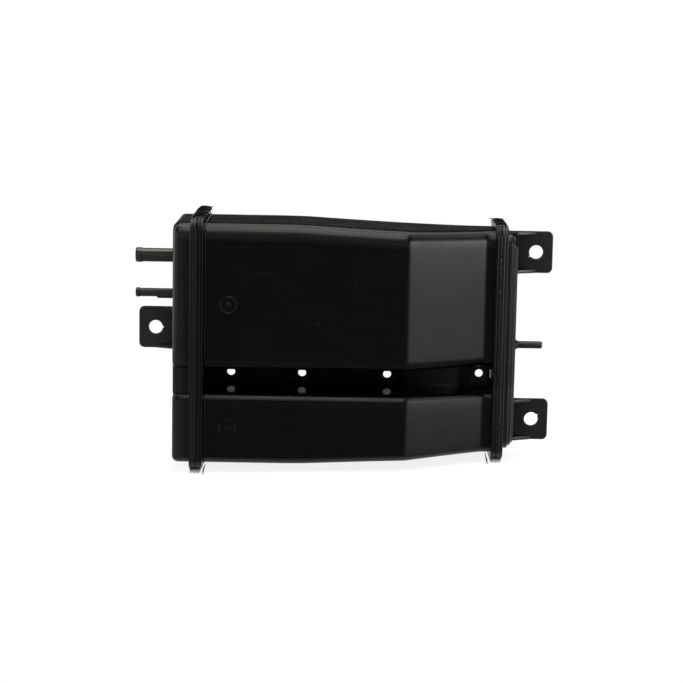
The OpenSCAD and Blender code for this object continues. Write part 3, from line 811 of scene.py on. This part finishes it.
def foot_burr(weld_x, x0, x1):
    """Ragged fringe of melt under both flanges: an outline in XY, drawn in on its way to a torn edge."""
    foot = floor_z(weld_x) - LIP_FOOT
    y0, y1 = front_y(weld_x) - LIP_SIDE + 4, BACK_Y + LIP_SIDE - 4
    outline = resampled(rounded_rings(y0, y1, weld_x + x0, weld_x + x1, 1.0)[0], BURR_POINTS)[0]
    walk = np.linspace(0, 2 * np.pi, BURR_POINTS, endpoint=False)
    torn = np.clip(-0.5 + ragged(walk, 0.45, 20, 190), -1.6, 0)
    middle = outline.mean(0)
    rows = []
    for drop, inset, share in ((-1.5, 0.0, 0), (0.3, 0.1, 0), (1.7, 0.3, 0.4), (BURR_H, 0.55, 1)):
        flat = outline - np.sign(outline - middle) * (inset + share * ragged(walk, 0.12, 20, 150))[:, None]
        rows.append(np.column_stack([flat[:, 1], flat[:, 0], foot - drop - share * torn]))
    return capped(np.array(rows))


end_front = front_y(END_X)
whiskers = [shaving([(PORT_X + 5.6, FRONT_Y - 5, -3.0), (PORT_X + 6.3, FRONT_Y - 4.5, 0.5),
                     (PORT_X + 7.5, FRONT_Y - 2, 4.6)], WHISKER_R),
            shaving([(END_X - 6.3, end_front - 5, end_foot - 3.0), (END_X - 6.8, end_front - 4.5, end_foot),
                     (END_X - 8.2, end_front - 1, end_foot + 4.8)], WHISKER_R)]
flash = put("weld_flash", [seam_bead(PORT_X), seam_bead(END_X)]
            + [foot_burr(PORT_X, -4.4, 3.9), foot_burr(END_X, -4.0, 4.2)]
            + [flash_cap(PORT_X, -3.4, 4.2, 1.9, 2.2), flash_cap(END_X, -4.4, 4.0, 1.5, 0.4)]
            + curls + whiskers, smooth_angle=50)

# %% [markdown]
# ## Finishes
#
# Each finish starts from what the real material is and how its surface was made. Patterns are measured in
# millimetres. One small function adds a shader node with its settings and links, and takes the inputs in
# the order in which the shader editor shows them, which keeps long chains short.

# %% Colour and node helpers


def linear(code):
    """Turn an sRGB hex colour into the linear values that a shader works with."""
    value = np.array([int(code[k:k + 2], 16) for k in (1, 3, 5)]) / 255
    bent = np.where(value <= 0.04045, value / 12.92, ((value + 0.055) / 1.055) ** 2.4)
    return (*bent.tolist(), 1.0)


def per_mm(size):
    """Scale of a pattern whose features are about this many millimetres wide."""
    return 1 / (size * MM)


def plug(tree, socket, value):
    """Put into a socket a node's first output, another of its outputs, a hex colour or a number."""
    if isinstance(value, bpy.types.Node):
        value = next(output for output in value.outputs if output.enabled)
    if isinstance(value, bpy.types.NodeSocket):
        tree.links.new(value, socket)
    elif value is not None:
        socket.default_value = linear(value) if isinstance(value, str) else value


def node(tree, kind, *inputs, **settings):
    """Add one shader node. Settings are its properties, and inputs go into its open sockets in their
    order. None leaves a socket as it is."""
    made = tree.nodes.new("ShaderNode" + kind)
    for name, value in settings.items():
        setattr(made, name, value)
    for socket, value in zip([socket for socket in made.inputs if socket.enabled], inputs):
        plug(tree, socket, value)
    return made


def finish(name, **constants):
    """New material with a Principled shader, and the Object coordinates that its patterns read."""
    material = bpy.data.materials.new(name)
    material.use_nodes = True
    tree = material.node_tree
    shader = tree.nodes["Principled BSDF"]
    for socket, value in constants.items():
        plug(tree, shader.inputs[socket.replace("_", " ")], value)
    place = node(tree, "TexCoord").outputs["Object"]
    return material, tree, shader, place


print("the sRGB grey #808080 in linear light:", np.round(linear("#808080")[:3], 4).tolist())

# %% [markdown]
# ### Black nylon
#
# The mouldings are glass-filled nylon, coloured black through. The melt leaves long faint flow marks, the
# tool leaves a fine grain, and handling leaves dust specks, a greyer tone on what sticks out, and scuffed
# feet. All of these are patterns in the solid, so they stay in place whichever way the part is turned.

# %% Patterns of the moulded plastic
FOOT_RISE = FLOOR_RISE / (END_X - PORT_X)


def drawn_noise(tree, place, stretch, size, detail=3.0):
    """Noise whose features are about size millimetres, drawn out by the given factor along each axis."""
    shrunk = node(tree, "Mapping", place, None, None, tuple(1 / s for s in stretch))
    return node(tree, "TexNoise", shrunk, per_mm(size), detail)


def region(tree, amount, *limits):
    """An amount that fades to 0 outside a region. Each limit is a value and two marks: its share goes
    from 0 at the first mark to 1 at the second, and the result is the amount times every share."""
    for value, none, full in limits:
        amount = node(tree, "MapRange", value, none, full, 0.0, amount)
    return amount


def nylon_spot(tree, place):
    """What tone, roughness and shine read at a spot: its place in millimetres, the way it faces, its
    height over the tilted line of the feet, the patterns there, and the limits of three regions."""
    spot = SimpleNamespace()
    in_mm = node(tree, "VectorMath", place, (1 / MM, 1 / MM, 1 / MM), operation="MULTIPLY")
    normal = node(tree, "TexCoord").outputs["Normal"]
    spot.x, spot.y, spot.z = node(tree, "SeparateXYZ", in_mm).outputs
    spot.face_x, spot.face_y, spot.face_z = node(tree, "SeparateXYZ", normal).outputs
    over_feet = node(tree, "VectorMath", in_mm, (-FOOT_RISE, 0, 1), operation="DOT_PRODUCT")
    spot.height = node(tree, "Math", over_feet, FOOT_RISE * PORT_X)
    spot.grain = drawn_noise(tree, place, (1, 1, 1), 0.9)
    spot.drag = drawn_noise(tree, place, (1, 1, 40), 1.1)
    spot.cloud = drawn_noise(tree, place, (1, 1, 1), 22, 4.0)
    uneven = node(tree, "Math", spot.height, node(tree, "MapRange", spot.grain, 0.3, 0.7, -0.6, 0.6))
    spot.scuff = region(tree, 1.0, (uneven, 0.6, -0.4))
    spot.left = (spot.x, FACE_X + 0.2, FACE_X - 1.8)
    spot.right = (spot.x, PAN_X + 1, PAN_X + 3)
    spot.low_down = (spot.z, MAIN_FLOOR_Z, SIDE_TOP_Z)
    return spot


print("line of the feet rises by", round(FOOT_RISE * 100, 2), "mm in every 100")

# %% [markdown]
# ### Tone and roughness of the nylon
#
# A worn surface is built up in layers, as it was in life: first the moulding, then dust, then wear. Each
# layer is mixed over the last by its own share, so one loop makes them all.

# %% Layers of tone, and roughness
END_GREY, DUST_GREY, TORN_GREYS = "#131310", "#4a4a46", ("#565653", "#c4c3bd")
DUST_APART = 4.5


def nylon_tone(tree, place, spot, deep, flowed):
    """Colour in layers: streaks of the flow, a greyer tone on what sticks out of the ends, specks of dust
    in some of many cells, and the pale torn feet."""
    flow = drawn_noise(tree, place, (30, 30, 1), 1.4)
    streaks = node(tree, "Math", region(tree, 1.0, (flow, 0.48, 0.72)),
                   region(tree, 0.5, (spot.drag, 0.5, 0.75)), operation="MAXIMUM")
    outside = node(tree, "Math", region(tree, 1.0, spot.left),
                   region(tree, 0.45, (spot.x, END_X - 0.4, END_X + 1.0)))
    clouded = node(tree, "MapRange", spot.cloud, 0.3, 0.7, 0.55, 1.0)
    ends = node(tree, "Math", outside, clouded, operation="MULTIPLY")
    distance, cell = node(tree, "TexVoronoi", place, per_mm(DUST_APART)).outputs[:2]
    dust = region(tree, 0.55, (node(tree, "SeparateColor", cell), 0.8, 0.82), (distance, 0.07, 0.045))
    torn = node(tree, "Mix", region(tree, 1.0, (spot.height, -0.3, -BURR_H)), *TORN_GREYS, data_type="RGBA")
    rubbed = node(tree, "MapRange", spot.grain, 0.35, 0.65, 0.7, 1.0)
    feet = node(tree, "Math", spot.scuff, rubbed, operation="MULTIPLY")
    tone = deep
    for share, layer in ((streaks, flowed), (ends, END_GREY), (dust, DUST_GREY), (feet, torn)):
        tone = node(tree, "Mix", share, tone, layer, data_type="RGBA")
    return tone


def nylon_roughness(tree, spot, rough):
    """Roughness that varies in soft clouds, lower on the side chamber's roof and higher on the scuffed
    feet."""
    level = node(tree, "MapRange", spot.cloud, 0.3, 0.7, rough - 0.03, rough + 0.05)
    smoother = region(tree, -0.6, (spot.face_z, 0.93, 0.99), spot.low_down)
    level = node(tree, "Math", level, smoother, level, operation="MULTIPLY_ADD")
    return node(tree, "Math", spot.scuff, 0.25, level, operation="MULTIPLY_ADD")


print("greys of ends, dust and torn feet:", END_GREY, DUST_GREY, *TORN_GREYS)

# %% [markdown]
# ### Painted shine of the nylon
#
# The specular level is painted by the way a face looks and by its place. Faces to the front are matt, and
# walls and edges glossy, which paints dark fronts and bright highlights on the roundings. Sheens,
# highlights, reflections and shade that a plain gloss can't give are painted in regions of their own.

# %% Shine painted by the way a face looks and by its place
# Cosines of a face's turn from the front, where the gloss begins and where it is full
GLOSS_BEGINS, GLOSS_FULL = 0.9997, 0.94


def nylon_shine(tree, spot, matt, gloss):
    """Specular level, painted: from matt to gloss by the way a face looks. Painted sheens are added to it,
    changes of gloss and painted highlights, reflections and shade raise or lower it by a share of itself,
    and some faces keep a lowest level, which paints their reflection of the floor or of each other."""
    # Matt faces to the front and glossy walls and edges: painted dark fronts and painted highlights on the
    # roundings
    drawn = region(tree, 1.0, (spot.face_y, -GLOSS_BEGINS, -GLOSS_FULL), (spot.face_z, -0.3, -0.05))
    on_wall, on_front = (drawn, 0.0, 1.0), (drawn, 1.0, 0.0)
    nearly_front = (spot.face_y, -0.8, -0.97)
    on_cups = (spot.x, PORT_X - COVER_FLANGE, PORT_X - COVER_FLANGE - 1)
    # Painted sheens: a soft painted highlight under the upper roundings, weaker low down, and one beside the
    # left rim
    lift = node(tree, "MapRange", spot.z, MAIN_FLOOR_Z, SIDE_TOP_Z, 0.1, 0.02)
    painted_sheens = {
        "under_upper_rounding": region(tree, lift, (spot.face_z, 0.003, 0.037), (spot.face_z, 0.25, 0.1),
                                       nearly_front),
        "beside_left_rim": region(tree, 0.065, (spot.face_x, -0.004, -0.04), nearly_front, on_cups),
    }
    # Painted highlight band along the top of the nipples, by the way a face looks
    nipple_highlight_band = node(tree, "MapRange", spot.face_z, 0.56, 0.74, -0.72, 0.95)
    # Painted shade at the tabs' roots that turns into painted light towards their tips
    left_tab_painted_shading = node(tree, "MapRange", spot.x, FACE_X - 4, FACE_X - 18, -0.17, 0.38)
    right_tabs_painted_shading = node(tree, "MapRange", spot.x, PAN_X + 4, PAN_X + 22, -0.17, 0.48)
    # Painted shade deep in the groove, strongest before the bend and less towards the neck
    dull = node(tree, "MapRange", spot.x, BEND_X + 5, NECK_X, -0.7, -0.21)
    depth = node(tree, "Math", spot.y, operation="ABSOLUTE")
    # Changes of gloss at the ends, and painted light and shade elsewhere
    changes = {
        # Painted shade on the main roof, and on the side chamber's upper rounding
        "main_roof_painted_shade": region(tree, -0.9, (spot.face_z, 0.93, 0.99), (spot.z, SIDE_TOP_Z, MAIN_FLOOR_Z)),
        "side_rounding_painted_shade": region(tree, -0.4, (spot.face_z, 0.1, 0.4), spot.low_down),
        # Painted reflection on the side chamber's tilted front
        "side_tilted_front_painted_reflection": region(tree, 0.45, (spot.face_x, 0.3, 0.4), spot.low_down),
        "left_end": region(tree, 0.42, spot.left),
        "right_end_walls": region(tree, 0.7, spot.right, on_wall),
        "painted_highlight_on_nipples": region(tree, nipple_highlight_band, spot.left, on_wall),
        "left_tab_to_its_tip": region(tree, left_tab_painted_shading, spot.left, on_front),
        "right_tabs_to_their_tips": region(tree, right_tabs_painted_shading, spot.right, on_front),
        "painted_shade_in_deep_groove": region(tree, dull, (depth, 32, 20), (spot.z, GROOVE_Z - 7.5, GROOVE_Z - 7),
                              (spot.z, GROOVE_Z + 9.5, GROOVE_Z + 9)),
    }
    # Lowest levels that paint the floor's reflection on the bottom rounding and the walls' reflections of
    # each other in the groove
    flatness = node(tree, "Math", spot.face_z, operation="ABSOLUTE")
    lowest_painted_reflections = {
        "bottom_rounding_painted_reflection": region(tree, 0.3, (spot.face_z, 0.0, -0.4), (spot.height, 13, 11)),
        "groove_walls_painted_reflection": region(tree, 1.0, (flatness, 0.97, 0.99), (spot.z, GROOVE_Z - 12, GROOVE_Z - 11),
                               (spot.z, GROOVE_Z + 12, GROOVE_Z + 11)),
    }
    shine = node(tree, "MapRange", drawn, 0.0, 1.0, matt, gloss)
    for painted_sheen in painted_sheens.values():
        shine = node(tree, "Math", shine, painted_sheen)
    for change in changes.values():
        shine = node(tree, "Math", shine, change, shine, operation="MULTIPLY_ADD")
    for level in lowest_painted_reflections.values():
        shine = node(tree, "Math", shine, level, operation="MAXIMUM")
    return shine


print("walls shine in full from", round(math.degrees(math.acos(GLOSS_FULL)), 1), "degrees off the front")

# %% [markdown]
# ### Two batches of nylon
#
# The covers come from another tool than the housing and are a little greyer and shinier, so the same
# function makes two materials. The weld flash is melt from both, and here it takes the covers' finish.

# %% Black nylon on the mouldings


def black_plastic(name, deep, flowed, rough, matt, gloss):
    """Glass-filled nylon as moulded, with a fine grain and drag lines as a shallow bump."""
    material, tree, shader, place = finish(name)
    spot = nylon_spot(tree, place)
    plug(tree, shader.inputs["Base Color"], nylon_tone(tree, place, spot, deep, flowed))
    plug(tree, shader.inputs["Roughness"], nylon_roughness(tree, spot, rough))
    # Specular level with painted highlights, sheens, reflections and shade
    plug(tree, shader.inputs["Specular IOR Level"], nylon_shine(tree, spot, matt, gloss))
    coarse = node(tree, "Math", spot.drag, 0.5, spot.grain, operation="MULTIPLY_ADD")
    plug(tree, shader.inputs["Normal"], node(tree, "Bump", 0.15, 0.06 * MM, None, coarse))
    return material


housing_finish = black_plastic("moulded_nylon_housing", "#010101", "#050505", 0.28, 0.048, 0.12)
cover_finish = black_plastic("moulded_nylon_cover", "#020202", "#060606", 0.28, 0.085, 0.165)
housing.data.materials.append(housing_finish)
for piece in (port_cover, end_cover, flash):
    piece.data.materials.append(cover_finish)
print("black nylon on", housing.name, port_cover.name, end_cover.name, flash.name)

# %% [markdown]
# ### What lies inside
#
# The filling only shows when the part is opened, but each piece has its own finish: matt grey grids,
# white fleece of felted fibres, carbon granules of about two millimetres, and drawn spring wire.

# %% Finishes of the filling


def grid_plastic():
    """Unfilled grey polypropylene: matt, with a soft cloudy tone."""
    material, tree, shader, place = finish("moulded_polypropylene_grid", Roughness=0.55,
                                           Specular_IOR_Level=0.4)
    cloud = drawn_noise(tree, place, (1, 1, 1), 3.0)
    tone = node(tree, "Mix", cloud, "#333537", "#424446", data_type="RGBA")
    plug(tree, shader.inputs["Base Color"], tone)
    plug(tree, shader.inputs["Normal"], node(tree, "Bump", 0.1, 0.1 * MM, None, cloud))
    return material


def fleece():
    """Needled polyester: fine crossed fibres, drawn about three times too thick so that they show."""
    material, tree, shader, place = finish("needled_polyester_fleece", Roughness=0.95,
                                           Specular_IOR_Level=0.2)
    one = drawn_noise(tree, place, (12, 1, 1), 0.35)
    two = drawn_noise(tree, place, (1, 12, 1), 0.35)
    fibres = node(tree, "Math", one, two, operation="MAXIMUM")
    tone = node(tree, "Mix", region(tree, 1.0, (fibres, 0.4, 0.75)), "#b9b6aa", "#e6e4dc", data_type="RGBA")
    plug(tree, shader.inputs["Base Color"], tone)
    plug(tree, shader.inputs["Normal"], node(tree, "Bump", 0.6, 0.3 * MM, None, fibres))
    return material


def carbon_granules():
    """Extruded activated carbon: dull black grains of about two millimetres with dark gaps."""
    material, tree, shader, place = finish("activated_carbon_granules", Roughness=0.75,
                                           Specular_IOR_Level=0.3)
    grain = region(tree, 1.0, (node(tree, "TexVoronoi", place, per_mm(2.2)), 0.6, 0.2))
    tone = node(tree, "Mix", grain, "#040404", "#1b1b1c", data_type="RGBA")
    plug(tree, shader.inputs["Base Color"], tone)
    plug(tree, shader.inputs["Normal"], node(tree, "Bump", 0.8, 0.8 * MM, None, grain))
    return material


def spring_wire():
    """Drawn spring steel: bright metal with fine draw lines along the coil's axis."""
    material, tree, shader, place = finish("drawn_spring_steel", Metallic=1.0)
    lines = drawn_noise(tree, place, (8, 1, 1), 0.2)
    tone = node(tree, "Mix", lines, "#8f9194", "#b9bbbd", data_type="RGBA")
    plug(tree, shader.inputs["Base Color"], tone)
    plug(tree, shader.inputs["Roughness"], node(tree, "MapRange", lines, 0.3, 0.7, 0.28, 0.42))
    return material


grey_grid = grid_plastic()
FILLING = {"grid": grey_grid, "plate": grey_grid, "filter": fleece(), "bed": carbon_granules(),
           "spring": spring_wire()}
for name, inner in frame["nodes"].items():
    for word, material in FILLING.items():
        if word in name:
            inner.data.materials.clear()
            inner.data.materials.append(material)
print("finishes inside:", sorted({material.name for material in FILLING.values()}))

# %% [markdown]
# ## Floor, light and camera
#
# A black object on white paper is lit by what it mirrors. The floor is a wide shallow bowl, so that its
# rim hides the horizon, and its paper is white to the eye and to reflections, with less of that glow
# close to the object, where its shadow falls. The two feet have different heights, so the bowl is tilted
# to meet both.

# %% Bowl of white paper that meets both feet
floor_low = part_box("port_cover")[0].z - BURR_H * MM
BOWL_R, BOWL_FLAT, BOWL_RISE, BOWL_GAP = 6.0, 1.2, 0.55, 0.0002
ring_r = np.concatenate([[0.01], np.linspace(0.3, BOWL_R, 30)])[:, None]
ring_turn = np.linspace(0, 2 * np.pi, 96, endpoint=False)
bowl_x, bowl_y = ring_r * np.cos(ring_turn), ring_r * np.sin(ring_turn)
rim = np.clip((ring_r - BOWL_FLAT) / (BOWL_R - BOWL_FLAT), 0, 1) ** 2
bowl_z = floor_low - BOWL_GAP + FOOT_RISE * (bowl_x - PORT_X * MM) + BOWL_RISE * rim
bowl_points, bowl_quads, bowl_tris = capped(np.stack([bowl_x, bowl_y, bowl_z], -1))
floor_mesh = bpy.data.meshes.new("floor")
bowl_faces = bowl_quads[:, ::-1].tolist() + bowl_tris[:len(ring_turn), ::-1].tolist()
floor_mesh.from_pydata(bowl_points[:-1].tolist(), [], bowl_faces)
floor_mesh.shade_smooth()
floor = bpy.data.objects.new("floor", floor_mesh)
bpy.context.scene.collection.objects.link(floor)
print("floor tilts by", round(math.degrees(math.atan(FOOT_RISE)), 2), "degrees to meet both feet")

# %% [markdown]
# ### Paper and room
#
# White paper in a photograph is so bright that it shows no tone of its own. A plain white surface mixed
# with a glow gives that: the glow answers the camera and mirrors, and the surface lights the part from
# below. The room behind the lamps is dim, so that black stays black.

# %% White paper and a dim room
GLOW_NEAR, GLOW_FAR, GLOW_LEAST = 0.18, 0.5, 0.85
paper, tree, shader, place = finish("white_paper", Base_Color="#f2f2f2", Roughness=0.9,
                                    Specular_IOR_Level=0.0)
far = node(tree, "VectorMath", place, operation="LENGTH")
glow = node(tree, "MapRange", far, GLOW_NEAR, GLOW_FAR, GLOW_LEAST, 1.0, interpolation_type="SMOOTHSTEP")
ray = node(tree, "LightPath").outputs
seen = node(tree, "Math", ray["Is Camera Ray"], ray["Is Glossy Ray"], operation="MAXIMUM")
seen = node(tree, "Math", seen, ray["Is Transmission Ray"], operation="MAXIMUM")
share = node(tree, "Math", seen, glow, operation="MULTIPLY")
mixed = node(tree, "MixShader", share, shader, node(tree, "Emission"))
plug(tree, tree.nodes["Material Output"].inputs["Surface"], mixed)
floor_mesh.materials.append(paper)

ROOM_GREY = 0.02
world = bpy.data.worlds.new("dim_room")
bpy.context.scene.world = world
world.use_nodes = True
world.node_tree.nodes["Background"].inputs["Color"].default_value = (ROOM_GREY, ROOM_GREY, ROOM_GREY, 1)
print("paper glows in full from", GLOW_FAR, "m, room at", ROOM_GREY)

# %% [markdown]
# ### Camera
#
# The photograph looks a little down on the part from far off, so its edges stay nearly parallel. A long
# lens from a distance gives that, and a small roll gives the slope of the feet.

# %% Camera at the photograph's angle
ELEVATION = math.radians(9)
ROLL = math.atan(0.0175)
DISTANCE, LENS, SENSOR = 1.560, 109.63, 36
LOOK = Vector((-0.00165, 0.0, 0.09075))
forward = Vector((0, math.cos(ELEVATION), -math.sin(ELEVATION)))
right0, up0 = Vector((1, 0, 0)), Vector((0, math.sin(ELEVATION), math.cos(ELEVATION)))
right = right0 * math.cos(ROLL) + up0 * math.sin(ROLL)
up = up0 * math.cos(ROLL) - right0 * math.sin(ROLL)
camera_data = bpy.data.cameras.new("camera")
camera_data.lens = LENS
camera_data.sensor_width = SENSOR
camera_data.sensor_fit = "HORIZONTAL"
camera = bpy.data.objects.new("camera", camera_data)
bpy.context.scene.collection.objects.link(camera)
turned = Matrix((right, up, -forward)).transposed().to_4x4()
camera.matrix_world = Matrix.Translation(LOOK - forward * DISTANCE) @ turned
bpy.context.scene.camera = camera
bpy.context.scene.view_settings.view_transform = "Standard"
print("camera stands", DISTANCE, "m off with a lens of", LENS, "mm")

# %% [markdown]
# ### Lamps
#
# Black plastic shows its form by what it mirrors, so each lamp is a softbox where one face or rounding
# mirrors it to the camera. A lamp's brightness is given for its surface, and its power follows from its
# size.

# %% Softboxes
WARM = (1.0, 1.0, 0.94)


def softbox(name, place, aim, size, power):
    """Rectangular lamp at a place, turned to face its aim."""
    data = bpy.data.lights.new(name, "AREA")
    data.shape = "RECTANGLE"
    data.size, data.size_y = size
    data.energy = power
    data.color = WARM
    lamp = bpy.data.objects.new(name, data)
    bpy.context.scene.collection.objects.link(lamp)
    lamp.location = place
    lamp.rotation_euler = (Vector(aim) - Vector(place)).to_track_quat("-Z", "Y").to_euler()
    lamp.visible_camera = False
    return lamp


# Place, aim and size in metres, and brightness
LAMPS = {
    "front_top_light": ((-0.005, -0.44, 0.86), (-0.005, -0.04, 0.17), (0.39, 0.74), 10.0),
    "top_light": ((-0.02, 0.05, 1.0), (-0.02, 0.0, 0.18), (0.76, 0.44), 6.5),
    "back_top_light": ((0.0, 0.52, 0.86), (0.0, 0.0, 0.18), (0.42, 0.36), 3.5),
    "back_right_light": ((0.43, 0.36, 0.92), (0.08, 0.0, 0.17), (0.36, 0.36), 4.5),
    "front_fill_light": ((-0.03, -0.78, 0.50), (-0.02, -0.04, 0.14), (0.42, 0.3), 3.5),
    "right_light": ((0.26, -0.145, 0.125), (0.075, -0.025, 0.09), (0.14, 0.28), 2.9),
    "right_top_light": ((0.32, -0.19, 0.18), (0.075, -0.025, 0.17), (0.18, 0.1), 6.5),
    "right_high_light": ((0.63, -0.08, 0.75), (0.08, -0.02, 0.17), (0.45, 0.45), 3.3),
    "left_light": ((-0.75, -0.55, 0.25), (-0.1, 0.0, 0.09), (0.3, 0.5), 1.5),
    "left_rim_light": ((-0.85, 0.05, 0.26), (-0.12, 0.0, 0.12), (0.46, 0.44), 6.0),
    "left_top_light": ((-0.72, 0.05, 0.75), (-0.13, 0.0, 0.15), (0.5, 0.5), 4.0),
}
for name, (place, aim, size, brightness) in LAMPS.items():
    softbox(name, place, aim, size, brightness * math.pi * size[0] * size[1])
print("lamps:", ", ".join(LAMPS))
